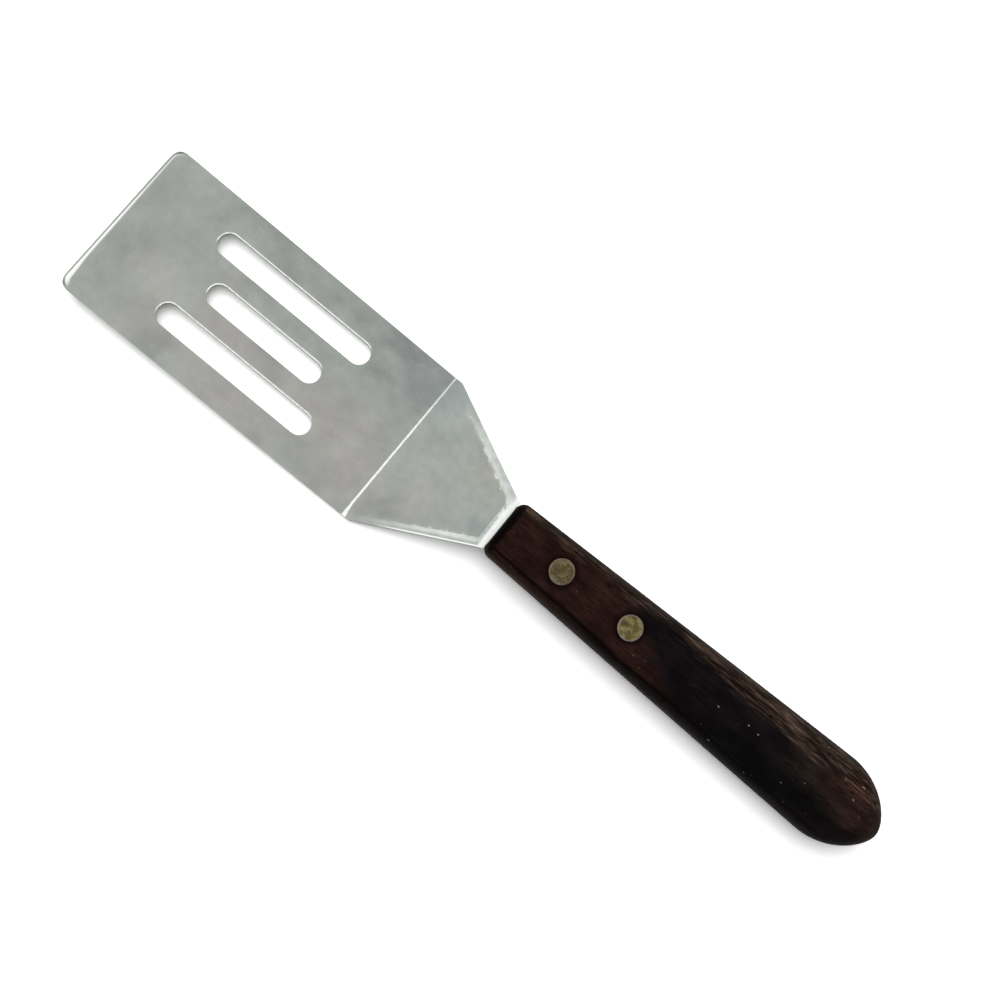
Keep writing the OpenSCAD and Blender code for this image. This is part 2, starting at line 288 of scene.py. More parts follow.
def add_plate(bm, row, far_x, far_half_w, corner_r, holes):
    """Fill a flat plate from a row of points to a far end with round corners, with holes left open."""
    z = row[0].co.z
    ends = [bm.verts.new((far_x, -far_half_w, z)), bm.verts.new((far_x, far_half_w, z))]
    rim = [bm.edges.new((row[0], ends[0])), bm.edges.new(ends), bm.edges.new((ends[1], row[-1]))]
    rounded = bmesh.ops.bevel(bm, geom=ends, offset=corner_r, offset_type="OFFSET", affect="VERTICES",
                              segments=corner_steps, profile=0.5, material=-1)
    edges = set(rounded["edges"])
    edges.update(edge for vert in rounded["verts"] for edge in vert.link_edges)
    edges.update(edge for edge in rim if edge.is_valid)
    edges.update(bm.edges.get(pair) for pair in zip(row, row[1:]))
    for x, y, length, width in holes:
        ring = bmesh.ops.create_circle(bm, segments=hole_steps, radius=width / 2,
                                       matrix=Matrix.Rotation(pi / hole_steps, 4, "Z"))["verts"]
        for vert in ring:
            vert.co += Vector((x + copysign((length - width) / 2, vert.co.x), y, z))
        edges.update(edge for vert in ring for edge in vert.link_edges)
    filled = bmesh.ops.triangle_fill(bm, edges=in_order(bm, edges), use_beauty=True, use_dissolve=False)
    faces = [item for item in filled["geom"] if isinstance(item, bmesh.types.BMFace)]
    inner = {edge for face in faces for edge in face.edges if len(edge.link_faces) == 2} - edges
    bmesh.ops.dissolve_limit(bm, angle_limit=radians(1), verts=[], edges=in_order(bm, inner))


bm = bmesh.new()
bmesh.ops.create_grid(bm, x_segments=neck_steps, y_segments=across_steps, size=0.5)
for vert in bm.verts:
    vert.co = neck_point(bend_x + (vert.co.x + 0.5) * neck_l, 2 * vert.co.y)
heel_row = sorted((vert for vert in bm.verts if vert.co.x < bend_x + near), key=lambda vert: vert.co.y)
tang_row = sorted((vert for vert in bm.verts if vert.co.x > handle_x - near), key=lambda vert: vert.co.y)
root = [min(tang_row, key=lambda vert: abs(vert.co.y - side * tang_w / 2)) for side in (-1, 1)]
for vert, side in zip(root, (-1, 1)):
    vert.co.y = side * tang_w / 2
tang_row = tang_row[tang_row.index(root[0]):tang_row.index(root[1]) + 1]
slots = [(slots_x, 0, middle_slot_l, slot_w)]
slots += [(slots_x, side * slot_pitch, outer_slot_l, slot_w) for side in (-1, 1)]
add_plate(bm, heel_row, front_x, blade_front_w / 2, blade_corner_r, slots)
add_plate(bm, tang_row, handle_x + tang_l, tang_w / 2, tang_corner_r,
          [(x, 0, rivet_hole_d, rivet_hole_d) for x in rivet_xs])
bmesh.ops.recalc_face_normals(bm, faces=bm.faces)
if sum(face.normal.z * face.calc_area() for face in bm.faces) < 0:
    bmesh.ops.reverse_faces(bm, faces=bm.faces)
bm.normal_update()
for vert, lift in [(vert, vert.normal * sheet_t / 2) for vert in bm.verts]:
    vert.co += lift
bmesh.ops.solidify(bm, geom=bm.faces, thickness=sheet_t)
ground = bmesh.ops.bisect_plane(bm, geom=bm.verts[:] + bm.edges[:] + bm.faces[:], dist=touching,
                                plane_co=(front_x, 0, edge_t), plane_no=(edge_t - sheet_t, 0, bevel_l),
                                clear_outer=True)
bmesh.ops.holes_fill(bm, edges=[item for item in ground["geom_cut"] if isinstance(item, bmesh.types.BMEdge)])
bmesh.ops.recalc_face_normals(bm, faces=bm.faces)
for face in bm.faces:
    face.smooth = True
for edge in bm.edges:
    edge.smooth = edge.calc_face_angle(0) < sharp_a
blade_mesh = bpy.data.meshes.new("blade_sheet")
bm.to_mesh(blade_mesh)
bm.free()
blade = bpy.data.objects.new("blade_sheet", blade_mesh)
scene.collection.objects.link(blade)
rims = blade.modifiers.new("rounded_rims", "BEVEL")
rims.width = edge_r
rims.segments = 2
rims.limit_method = "ANGLE"
rims.angle_limit = edge_rounding_a
rims.use_clamp_overlap = False
rims.harden_normals = True


def mix(tree, factor, first, second):
    """Go from the first colour to the second as factor goes from 0 to 1."""
    node = add(tree, "Mix", {0: factor}, data_type="RGBA")
    for socket, value in ((node.inputs[6], first), (node.inputs[7], second)):
        if isinstance(value, bpy.types.NodeSocket):
            tree.links.new(value, socket)
        else:
            socket.default_value = (*value, 1)
    return node.outputs[2]


def shade(tree, color, tone):
    """Make a colour tone times as bright."""
    return add(tree, "VectorMath", {0: color, "Scale": tone}, operation="SCALE").outputs[0]


def mottle(tree, place, size, detail=3.0, stretch=1.0, turn=0.0):
    """Noise whose blotches are about one size across, and drawn out stretch times along a direction."""
    sockets = {"Vector": place, "Rotation": (0, 0, turn), "Scale": (stretch, 1, 1)}
    drawn = add(tree, "Mapping", sockets, vector_type="TEXTURE").outputs["Vector"]
    return add(tree, "TexNoise", {"Vector": drawn, "Scale": 1 / size, "Detail": detail}).outputs["Fac"]


def line(tree, value, center, half, soft):
    """1 where value lies within half of center, falling to 0 over soft."""
    off = calc(tree, "ABSOLUTE", calc(tree, "SUBTRACT", value, center))
    return ramp(tree, off, half + soft, half)


def along(tree, value, start, end, low, high):
    """Go evenly from low to high while value goes from start to end."""
    sockets = {"Value": value, "From Min": start, "From Max": end, "To Min": low, "To Max": high}
    return add(tree, "MapRange", sockets).outputs["Result"]


def vary(tree, noise, amount):
    """A factor about 1, which this noise takes up and down by the amount."""
    return along(tree, noise, 0.3, 0.7, 1 - amount, 1 + amount)


def sway(tree, value, noise, amount):
    """Move value up and down with a noise, so that what is drawn at one value of it gets ragged."""
    return calc(tree, "ADD", value, calc(tree, "MULTIPLY", calc(tree, "SUBTRACT", noise, 0.5), amount))


def stain(tree, x, y, noise, spot, radius, most):
    """A ragged round stain: most at its middle and 0 outside."""
    off = distance(tree, calc(tree, "SUBTRACT", x, spot[0]), calc(tree, "SUBTRACT", y, spot[1]))
    return ramp(tree, sway(tree, off, noise, 2 * radius), radius, 0.1 * radius, 0, most)


# The sheet's finish is a dull satin: green-grey, warmer in the middle of the blade, with cloudy patches,
# stains, fine scratches and tiny dark specks. Painted highlights brighten it along the bend, on the rolled
# rims, the near rim's edge and the worn shoulder, behind the ground edge and along the slots' rims. Painted
# shade darkens its sheared edges, which are dull as well.
warm_x = -80 * mm
warm_y = -12 * mm
warm_narrowing = 0.42
warm_outer_r = 26 * mm
warm_inner_r = 8 * mm
warm_drift = 80 * mm
cloud_size = 30 * mm
patch_size = 10 * mm
patch_contrast = 0.10
mark_size = 2.6 * mm
mark_contrast = 0.045
grain_size = 0.3 * mm
grain_contrast = 0.04
speck_size = 0.5 * mm
scratch_w = 0.16 * mm
scratch_stretch = 14
scratch_turns = [radians(20), radians(74), radians(-38)]
scratch_share = 0.35
bend_line_w = 0.8 * mm
bend_line_lag = 0.45
bend_near_half = 0.42
bend_far_half = 0.32
bend_flare_most = 0.45
panel_corner_r = 2 * mm
panel_foot_drift = 2.4 * mm
roll_near_start = 0.04
roll_far_start = 0.26
roll_run = 9 * mm
roll_near = 0.15
roll_far = 0.36
glow_near_l = 1.55 * bevel_l
glow_far_l = 1.25 * bevel_l
glow_corner_l = 0.6 * bevel_l
glow_soft = 0.3 * bevel_l
front_shade_start = 0.9 * bevel_l
front_shade_end = 0.65 * bevel_l
front_shade_share = 0.7
slot_highlight_w = 0.26 * mm
end_wall_shade_share = 0.5
sheared_shade_share = 0.9
highlight_dull = 0.7
green_grey = (0.578, 0.622, 0.571)
warm_grey = (0.628, 0.620, 0.586)
bright_steel = (0.96, 0.98, 0.95)
dark_steel = (0.26, 0.27, 0.26)
edge_shade_steel = (0.15, 0.15, 0.14)
speck_brown = (0.25, 0.22, 0.18)

# Each handling stain has its x, y and radius in millimetres and the change of tone at its middle.
# Each tint has its x, y and radius, its colour, and its share of the colour at its middle.
handling_stains = [(-114, -9, 15, 0.11), (-112, -22, 12, -0.12), (-130, -5, 9, -0.10), (-29, -20, 9, -0.09),
                   (-10, 2, 13, 0.07), (-88, 24, 26, -0.09), (-60, 24, 16, -0.06), (-24, 15, 8, 0.04)]
# The first tint, darker and blue-grey at the heel's far corner, is a painted reflection of a dim ceiling.
tints = [(-43, 23, 20, (0.425, 0.460, 0.470), 0.75), (-31, 18, 8, (0.58, 0.65, 0.66), 0.5),
         (-4, -4, 5, (0.42, 0.46, 0.49), 0.4), (-14, 9, 6, (0.60, 0.57, 0.53), 0.6),
         (-8, 7, 4, (0.55, 0.57, 0.45), 0.35)]

steel = bpy.data.materials.new("scuffed_stainless")
steel.use_nodes = True
tree = steel.node_tree
place = add(tree, "TexCoord").outputs["Object"]
x, y = add(tree, "SeparateXYZ", {"Vector": place}).outputs[:2]
patches = mottle(tree, place, patch_size, 5)
marks = mottle(tree, place, mark_size, 4)
fine = mottle(tree, place, grain_size, 2)
breaks = mottle(tree, place, 4 * grain_size, 3)
warm_run = calc(tree, "MULTIPLY", calc(tree, "SUBTRACT", x, warm_x), warm_narrowing)
warm_off = distance(tree, warm_run, calc(tree, "SUBTRACT", y, warm_y))
warm_off = sway(tree, warm_off, mottle(tree, place, cloud_size, 5), warm_drift)
metal = mix(tree, ramp(tree, warm_off, warm_outer_r, warm_inner_r), green_grey, warm_grey)
tone = calc(tree, "MULTIPLY", vary(tree, patches, patch_contrast), vary(tree, marks, mark_contrast),
            vary(tree, fine, grain_contrast))
for stain_x, stain_y, stain_r, change in handling_stains:
    spot = (stain_x * mm, stain_y * mm)
    tone = calc(tree, "ADD", tone, stain(tree, x, y, patches, spot, stain_r * mm, change))
for stain_x, stain_y, stain_r, tint, share in tints:
    spot = (stain_x * mm, stain_y * mm)
    metal = mix(tree, stain(tree, x, y, patches, spot, stain_r * mm, share), metal, tint)
metal = shade(tree, metal, tone)

# Fine scratches run in three directions, each kind in its own worn places.
scratches = 0.0
for number, turn in enumerate(scratch_turns):
    hairs = ramp(tree, mottle(tree, place, scratch_w, 1, scratch_stretch, turn), 0.66, 0.74)
    worn = ramp(tree, mottle(tree, place, 2 * mark_size * (number + 1), 2), 0.50, 0.64)
    scratches = calc(tree, "MAXIMUM", scratches, calc(tree, "MULTIPLY", hairs, worn))
metal = mix(tree, calc(tree, "MULTIPLY", scratches, scratch_share), metal, bright_steel)

# The bend's painted highlight gets wider and moves back at the near side, and fades at the far side.
bend_flare = ramp(tree, y, -0.4 * blade_heel_w, -0.52 * blade_heel_w, 0, bend_flare_most)
bend_half = along(tree, y, -blade_heel_w / 2, blade_heel_w / 2, bend_near_half, bend_far_half)
bend_half = calc(tree, "MULTIPLY", calc(tree, "ADD", bend_half, bend_flare), bend_line_w)
bend_off = calc(tree, "SUBTRACT", x, bend_x + bend_line_lag * bend_line_w,
                calc(tree, "MULTIPLY", bend_flare, bend_line_w))
bend_off = sway(tree, calc(tree, "ABSOLUTE", bend_off), fine, 0.6 * bend_line_w)
bend_highlight = calc(tree, "MULTIPLY", ramp(tree, calc(tree, "DIVIDE", bend_off, bend_half), 1.25, 0.65),
                 ramp(tree, breaks, 0.30, 0.50, 0.65, 1),
                 ramp(tree, y, 0.1 * blade_heel_w, 0.45 * blade_heel_w, 1, 0.6))

# On the neck, a painted highlight lies on the rolled rim outside the foot of the panel's wall, more so on the
# far side. The foot itself has bright broken marks, the shoulder is worn and carries a painted highlight, and
# a painted highlight runs along the near rim's edge.
slant = cos(side_a)
neck_edge = along(tree, x, side_corner_x, handle_x, blade_heel_w / 2, neck_end_w / 2)
rim = along(tree, x, side_corner_x, wall_x, rim_start_w / slant, rim_w / slant)
inward = calc(tree, "SUBTRACT", neck_edge, calc(tree, "ABSOLUTE", y))
wall_way = calc(tree, "DIVIDE", calc(tree, "SUBTRACT", inward, rim), wall_w / slant)
from_side = calc(tree, "MULTIPLY", calc(tree, "SUBTRACT", wall_way, 1.0), wall_w)
from_end = calc(tree, "SUBTRACT", wall_x + 0.45 * wall_w, x)
round_side = calc(tree, "MAXIMUM", calc(tree, "SUBTRACT", panel_corner_r, from_side), 0.0)
round_end = calc(tree, "MAXIMUM", calc(tree, "SUBTRACT", panel_corner_r, from_end), 0.0)
foot_off = calc(tree, "SUBTRACT", panel_corner_r, distance(tree, round_side, round_end))
foot_off = sway(tree, foot_off, breaks, panel_foot_drift)
on_panel = ramp(tree, x, bend_x + 0.12 * neck_l, bend_x + 0.5 * neck_l)
far_side = ramp(tree, y, -mm, mm)
roll_start = ramp(tree, far_side, 0, 1, bend_x + roll_near_start * neck_l, bend_x + roll_far_start * neck_l)
roll_highlight = calc(tree, "MULTIPLY", ramp(tree, calc(tree, "SUBTRACT", x, roll_start), 0, roll_run),
              ramp(tree, foot_off, 0.7 * mm, -0.6 * mm), ramp(tree, far_side, 0, 1, roll_near, roll_far),
              ramp(tree, marks, 0.38, 0.6, 0.7, 1.15))
# Bright broken marks lie along the foot of the panel's wall, brighter on the far side.
foot_marks = calc(tree, "MULTIPLY", line(tree, foot_off, 0, 0.1 * mm, 0.3 * mm), on_panel,
              ramp(tree, calc(tree, "ADD", marks, fine), 1.0, 1.12, 0, 0.85),
              ramp(tree, far_side, 0, 1, 0.4, 1))
# The worn shoulder also gets a painted highlight, strongest next to the handle.
shoulder = calc(tree, "MULTIPLY", ramp(tree, x, wall_x + 0.35 * wall_w, wall_x + 0.65 * wall_w),
                ramp(tree, x, shoulder_x - 0.4 * wall_w, shoulder_x, 0.68, 1.15),
                ramp(tree, calc(tree, "ADD", fine, breaks), 0.8, 1.1, 0.8, 1))
# A painted highlight runs just inside the near rim's edge.
near_edge_highlight = calc(tree, "MULTIPLY", line(tree, inward, 0.25 * rim_w, 0.18 * rim_w, 0.3 * rim_w), on_panel,
                 ramp(tree, y, 0, -mm))

# The front edge's lip carries a painted dark line of shade, and behind it a painted highlight lies over
# the ground bevel and past it, brightest at the near corner.
corner_x = front_x + blade_corner_r
corner_y = blade_front_w / 2 - blade_corner_r
round_x = calc(tree, "MAXIMUM", calc(tree, "SUBTRACT", corner_x, x), 0.0)
round_y = calc(tree, "MAXIMUM", calc(tree, "SUBTRACT", calc(tree, "ABSOLUTE", y), corner_y), 0.0)
front_off = calc(tree, "SUBTRACT", blade_corner_r, distance(tree, round_x, round_y))
at_front = ramp(tree, x, corner_x, front_x + 0.4 * blade_corner_r)
glow_end = calc(tree, "ADD", along(tree, y, -blade_front_w / 2, blade_front_w / 2, glow_near_l, glow_far_l),
                ramp(tree, y, -0.26 * blade_front_w, -0.46 * blade_front_w, 0, glow_corner_l))
glow_start = calc(tree, "ADD", glow_end, glow_soft)
glow_end = calc(tree, "SUBTRACT", glow_end, glow_soft)
front_highlight = calc(tree, "MULTIPLY", ramp(tree, front_off, glow_start, glow_end),
                   ramp(tree, y, -0.1 * blade_front_w, 0.45 * blade_front_w, 1, 0.45), at_front)
# A painted dark line of shade lies along the front edge's lip.
front_shade_line = calc(tree, "MULTIPLY", ramp(tree, front_off, front_shade_start, front_shade_end), at_front)

# All the painted highlights, with the worn marks, turn the metal bright and less metallic.
highlight_and_wear = bend_highlight
# Each slot gets a painted highlight along the rim on its lit side.
for slot_x, slot_y, slot_l, slot_width in slots:
    half_run = (slot_l - slot_width) / 2
    past = calc(tree, "SUBTRACT", x, slot_x)
    straight = add(tree, "Clamp", {0: past, 1: -half_run, 2: half_run}).outputs[0]
    end_off = calc(tree, "SUBTRACT", past, straight)
    side_off = calc(tree, "SUBTRACT", y, slot_y)
    rim_off = calc(tree, "SUBTRACT", distance(tree, end_off, side_off), slot_width / 2)
    lit = calc(tree, "SUBTRACT", side_off, calc(tree, "MULTIPLY", end_off, 0.8))
    slot_highlight = calc(tree, "MULTIPLY", line(tree, rim_off, 0.6 * slot_highlight_w, 0.5 * slot_highlight_w, slot_highlight_w),
                     ramp(tree, lit, 0.1 * slot_width, 0.4 * slot_width),
                     ramp(tree, breaks, 0.35, 0.55, 0.6, 1))
    highlight_and_wear = calc(tree, "MAXIMUM", highlight_and_wear, slot_highlight)
highlight_and_wear = calc(tree, "MAXIMUM", highlight_and_wear, roll_highlight, foot_marks, shoulder, near_edge_highlight, front_highlight)
metal = mix(tree, highlight_and_wear, metal, bright_steel)

# Painted shade lies at the foot of the panel's end wall. Sheared faces are dark, a dull shear with painted
# shade over it, and so is the front edge's painted line of shade. Specks are dark.
end_wall_shade = calc(tree, "MULTIPLY", line(tree, foot_off, 0.5 * mm, 0.05 * mm, 0.3 * mm),
             ramp(tree, breaks, 0.42, 0.56), ramp(tree, from_end, 1.2 * mm, 0.4 * mm))
metal = mix(tree, calc(tree, "MULTIPLY", end_wall_shade, end_wall_shade_share), metal, dark_steel)
metal = mix(tree, calc(tree, "MULTIPLY", front_shade_line, front_shade_share), metal, edge_shade_steel)
# Faces that stand on edge are darkened: a dull shear with painted shade over it.
facing = add(tree, "SeparateXYZ", {"Vector": add(tree, "NewGeometry").outputs["Normal"]}).outputs["Z"]
sheared_and_shade = ramp(tree, calc(tree, "ABSOLUTE", facing), 0.55, 0.25)
metal = mix(tree, calc(tree, "MULTIPLY", sheared_and_shade, sheared_shade_share), metal, edge_shade_steel)
specks = ramp(tree, mottle(tree, place, speck_size, 1), 0.80, 0.84)
metal = mix(tree, specks, metal, speck_brown)

shader = tree.nodes["Principled BSDF"]
tree.links.new(metal, shader.inputs["Base Color"])
dull = calc(tree, "MAXIMUM", calc(tree, "SUBTRACT", highlight_and_wear, sheared_and_shade, front_shade_line), 0.0)
dull = calc(tree, "MULTIPLY", dull, highlight_dull)
tree.links.new(calc(tree, "SUBTRACT", 1.0, dull), shader.inputs["Metallic"])
satin = sway(tree, ramp(tree, patches, 0.4, 0.6, 0.36, 0.31), fine, 0.12)
tree.links.new(satin, shader.inputs["Roughness"])
dents = calc(tree, "ADD", calc(tree, "MULTIPLY", fine, 0.35), calc(tree, "MULTIPLY", scratches, -0.5),
             calc(tree, "MULTIPLY", marks, 1.2))
bump = add(tree, "Bump", {"Height": dents, "Strength": 0.12, "Distance": 0.05 * mm})
tree.links.new(bump.outputs["Normal"], shader.inputs["Normal"])
blade.data.materials.append(steel)
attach(blade, "root")
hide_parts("blade")

# The handle is one piece of dark rosewood, shaped all round, sanded and oiled, and darkened by years of use.
# Its front end is rounded over and mortised for the tang. Two counterbores on each side take the rivet heads.
handle_t = 16 * mm
handle_front_t = 13.8 * mm
handle_front_w = 17.9 * mm
handle_belly_w = 25.7 * mm
handle_front_r = 2.7 * mm
butt_l = 18.5 * mm
butt_thin_l = 12 * mm
mortise_gap = 0.15 * mm
mortise_room = 1 * mm
rivet_head_d = 7.6 * mm
rivet_head_t = 1.3 * mm
rivet_proud = 0.15 * mm
rivet_tube_d = 4.8 * mm
head_gap = 0.1 * mm
section_front_share = 3.6
section_rear_share = 2.5
widening_share = 1.05
butt_plan_share = 1.5
tip_a = radians(86)
front_edge_a = radians(35)
front_steps = 10
body_steps = 60
butt_steps = 48
round_steps = 108

butt_x = handle_high[0]
belly_x = butt_x - butt_l


def handle_half_w(x):
    """Half of the handle's width at x, without the rounded front end."""
    if x <= belly_x:
        share = 1 - (1 - (x - handle_x) / (belly_x - handle_x)) ** widening_share
        return (handle_front_w + (handle_belly_w - handle_front_w) * share) / 2
    return handle_belly_w / 2 * (1 - ((x - belly_x) * sin(tip_a) / butt_l) ** 2) ** (1 / butt_plan_share)


def handle_half_t(x):
    """Half of the handle's thickness at x, without the rounded front end."""
    if x <= belly_x:
        share = sin(pi / 2 * (x - handle_x) / (belly_x - handle_x))
        return (handle_front_t + (handle_t - handle_front_t) * share) / 2
    return handle_t / 2 * sqrt(1 - (max(0, 1 - (butt_x - x) / butt_thin_l) * sin(tip_a)) ** 2)


def handle_point(x, turn):
    """A point on the handle's surface: the sections are rounded rectangles, and rounder to the rear."""
    past = max(0, handle_x + handle_front_r - x)
    inset = handle_front_r - sqrt(handle_front_r ** 2 - past ** 2)
    way = (x - handle_x) / (butt_x - handle_x)
    power = 2 / (section_front_share + (section_rear_share - section_front_share) * way)
    y = (handle_half_w(x) - inset) * copysign(abs(cos(turn)) ** power, cos(turn))
    z = (handle_half_t(x) - inset) * copysign(abs(sin(turn)) ** power, sin(turn))
    return Vector((x, y, tang_z + z))


stations = [handle_x + handle_front_r * (1 - cos(pi / 2 * step / front_steps)) for step in range(front_steps)]
body_l = belly_x - handle_x - handle_front_r
stations += [handle_x + handle_front_r + body_l * step / body_steps for step in range(body_steps)]
stations += [belly_x + butt_l * sin(tip_a * step / butt_steps) / sin(tip_a) for step in range(butt_steps + 1)]
bm = bmesh.new()
bmesh.ops.create_grid(bm, x_segments=len(stations) - 1, y_segments=round_steps, size=0.5)
for vert in bm.verts:
    station = stations[round((vert.co.x + 0.5) * (len(stations) - 1))]
    vert.co = handle_point(station, 2 * pi * vert.co.y)
bmesh.ops.remove_doubles(bm, verts=bm.verts, dist=10 * touching)
bmesh.ops.holes_fill(bm, edges=[edge for edge in bm.edges if edge.is_boundary])
bmesh.ops.recalc_face_normals(bm, faces=bm.faces)
handle_mesh = bpy.data.meshes.new("handle_wood")
bm.to_mesh(handle_mesh)
bm.free()
handle = bpy.data.objects.new("handle_wood", handle_mesh)
scene.collection.objects.link(handle)


def add_bore(bm, x, z, radius, depth):
    """Add an upright drill of this radius and length, centred at x and z."""
    bmesh.ops.create_cone(bm, cap_ends=True, segments=hole_steps, radius1=radius, radius2=radius, depth=depth,
                          matrix=Matrix.Translation((x, 0, z)))


bm = bmesh.new()
mortise_l = tang_l + mortise_room
chisel_spot = Matrix.Translation((handle_x + mortise_l / 2 - mm, 0, tang_z + mortise_gap / 2))
chisel_size = (mortise_l + 2 * mm, tang_w + 2 * mortise_gap, sheet_t + mortise_gap, 1)
bmesh.ops.create_cube(bm, size=1, matrix=chisel_spot @ Matrix.Diagonal(chisel_size))
for x in rivet_xs:
    seat = handle_half_t(x) + rivet_proud - rivet_head_t
    add_bore(bm, x, tang_z, rivet_tube_d / 2, 2 * handle_t)
    for side in (-1, 1):
        add_bore(bm, x, tang_z + side * (seat + handle_t / 2), rivet_head_d / 2 + head_gap, handle_t)
cutter_mesh = bpy.data.meshes.new("cutter")
bm.to_mesh(cutter_mesh)
bm.free()
cutter = bpy.data.objects.new("cutter", cutter_mesh)
scene.collection.objects.link(cutter)
cut = handle.modifiers.new("bores", "BOOLEAN")
cut.operation = "DIFFERENCE"
cut.solver = "EXACT"
cut.use_self = True
cut.object = cutter
bpy.context.view_layer.update()
bored = bpy.data.meshes.new_from_object(handle.evaluated_get(bpy.context.evaluated_depsgraph_get()))
handle.modifiers.clear()
bpy.data.objects.remove(cutter)
bm = bmesh.new()
bm.from_mesh(bored)
for face in bm.faces:
    face.smooth = True
for edge in bm.edges:
    edge.smooth = edge.calc_face_angle(0) < front_edge_a
bm.to_mesh(handle_mesh)
bm.free()
bpy.data.meshes.remove(bored)

# The wood is maroon in front and brown towards the butt, with a near-black heart in between. A streaky
# lighter band along the far side is painted sheen over its grain. Painted shade lies along the near side, as
# a dark line at its edge, and in dark rings round the rivets.
# The grain runs straight along the handle, with open pores, and pale dust sits in some of them.
maroon = (0.0165, 0.0068, 0.0054)
black_heart = (0.0042, 0.0030, 0.0038)
blue_black = (0.0020, 0.0022, 0.0022)
brown_dusk = (0.0108, 0.0076, 0.0062)
brown_butt = (0.0190, 0.0102, 0.0080)
sheen_brown = (0.0292, 0.0189, 0.0138)
red_patch = (0.0340, 0.0150, 0.0110)
shaded_side = (0.0046, 0.0034, 0.0031)
red_side = (0.0185, 0.0080, 0.0046)
end_grain = (0.0010, 0.0006, 0.0005)
pore_black = (0.0015, 0.0008, 0.0008)
pale_dust = (0.30, 0.28, 0.275)
wander_size = 9 * mm
ragged_size = 1.8 * mm
figure_size = 5 * mm
streak_w = 0.8 * mm
fibre_w = 0.42 * mm
pore_w = 0.32 * mm
heart_slant = 1.5
heart_start_x = 45 * mm
heart_full_x = 57 * mm
heart_outer_y = 7.6 * mm
heart_inner_y = 3.0 * mm
heart_rear_share = 0.72
band_outer_y = 3.6 * mm
band_inner_y = 6 * mm
near_line_in = 2.0 * mm
near_line_share = 0.85
near_side_share = 0.8
far_line_share = 0.65
red_patch_x = 124 * mm
red_patch_y = 6.5 * mm
red_patch_share = 0.7
rivet_shade_r = 5.6 * mm
rivet_shade_tone = 0.45
fleck_r = 0.27 * mm
tip_r = 2.3 * mm
wood_specular = 0.025

wood = bpy.data.materials.new("dark_rosewood")
wood.use_nodes = True
tree = wood.node_tree
place = add(tree, "TexCoord").outputs["Object"]
x, y, z = add(tree, "SeparateXYZ", {"Vector": place}).outputs
wander = calc(tree, "SUBTRACT", mottle(tree, place, wander_size, 4, 3), 0.5)
ragged = calc(tree, "SUBTRACT", mottle(tree, place, ragged_size, 4, 10), 0.5)
streaks = mottle(tree, place, streak_w, 4, 14)
fibres = mottle(tree, place, fibre_w, 3, 10)

# The heart starts on a slant, and its far edge draws nearer as it goes back. It is deepest on the near side.
heart_front = calc(tree, "ADD", x, calc(tree, "MULTIPLY", y, heart_slant),
                   calc(tree, "MULTIPLY", wander, 22 * mm))
heart_side = calc(tree, "ADD", y, along(tree, x, 95 * mm, 106 * mm, 0, 6.5 * mm),
                  along(tree, x, 106 * mm, 132 * mm, 0, 4 * mm),
                  along(tree, x, 58 * mm, 76 * mm, -2.4 * mm, 0),
                  calc(tree, "MULTIPLY", wander, 5 * mm), calc(tree, "MULTIPLY", ragged, 9 * mm))
heart = calc(tree, "MULTIPLY", ramp(tree, heart_front, heart_start_x, heart_full_x),
             ramp(tree, heart_side, heart_outer_y, heart_inner_y),
             along(tree, x, 76 * mm, 108 * mm, 1, heart_rear_share))
deepest = calc(tree, "ADD", y, calc(tree, "MULTIPLY", ragged, 6 * mm))
deepest = calc(tree, "MULTIPLY", ramp(tree, deepest, -mm, -4 * mm), ramp(tree, x, 70 * mm, 90 * mm))

# The painted sheen lies on the far side. The near side turns down into its own painted shade, with a painted
# shade line along it, and a thin painted shade darkens the far side's edge.
band_line = calc(tree, "SUBTRACT", sway(tree, y, streaks, 6 * mm),
                 along(tree, x, 40 * mm, 72 * mm, 1.6 * mm, 0))
far_sheen = ramp(tree, band_line, band_outer_y, band_inner_y)
side_w = along(tree, x, handle_x, belly_x, handle_front_w / 2, handle_belly_w / 2)
from_near_side = calc(tree, "ADD", y, side_w)
near_side = ramp(tree, from_near_side, 3 * mm, 1.6 * mm)
near_edge_shade = calc(tree, "ADD", from_near_side, calc(tree, "MULTIPLY", wander, 1.8 * mm),
                 calc(tree, "MULTIPLY", ragged, mm))
near_edge_shade = calc(tree, "MULTIPLY", line(tree, near_edge_shade, near_line_in, 0.25 * mm, 0.45 * mm), near_line_share)
# A thin painted shade darkens the far side's very edge.
far_edge_shade = ramp(tree, calc(tree, "SUBTRACT", side_w, y), 0.9 * mm, 0.3 * mm, 0, far_line_share)
red_y = calc(tree, "MULTIPLY", calc(tree, "SUBTRACT", y, red_patch_y), 1.4)
red_off = distance(tree, calc(tree, "SUBTRACT", x, red_patch_x), red_y)
butt_start = calc(tree, "ADD", x, calc(tree, "MULTIPLY", wander, 16 * mm))

color = mix(tree, ramp(tree, x, 70 * mm, 92 * mm), maroon, brown_dusk)
color = mix(tree, ramp(tree, butt_start, 104 * mm, 122 * mm), color, brown_butt)
color = mix(tree, calc(tree, "MULTIPLY", far_sheen, along(tree, x, 0, 60 * mm, 0.8, 0.9)), color, sheen_brown)
color = mix(tree, ramp(tree, red_off, 7 * mm, 2 * mm, 0, red_patch_share), color, red_patch)
color = mix(tree, heart, color, black_heart)
color = mix(tree, calc(tree, "MULTIPLY", heart, deepest), color, blue_black)
side_color = mix(tree, ramp(tree, x, 10 * mm, 50 * mm), red_side, shaded_side)
color = mix(tree, calc(tree, "MULTIPLY", near_side, near_side_share), color, side_color)
color = mix(tree, far_edge_shade, color, shaded_side)
color = mix(tree, near_edge_shade, color, pore_black)

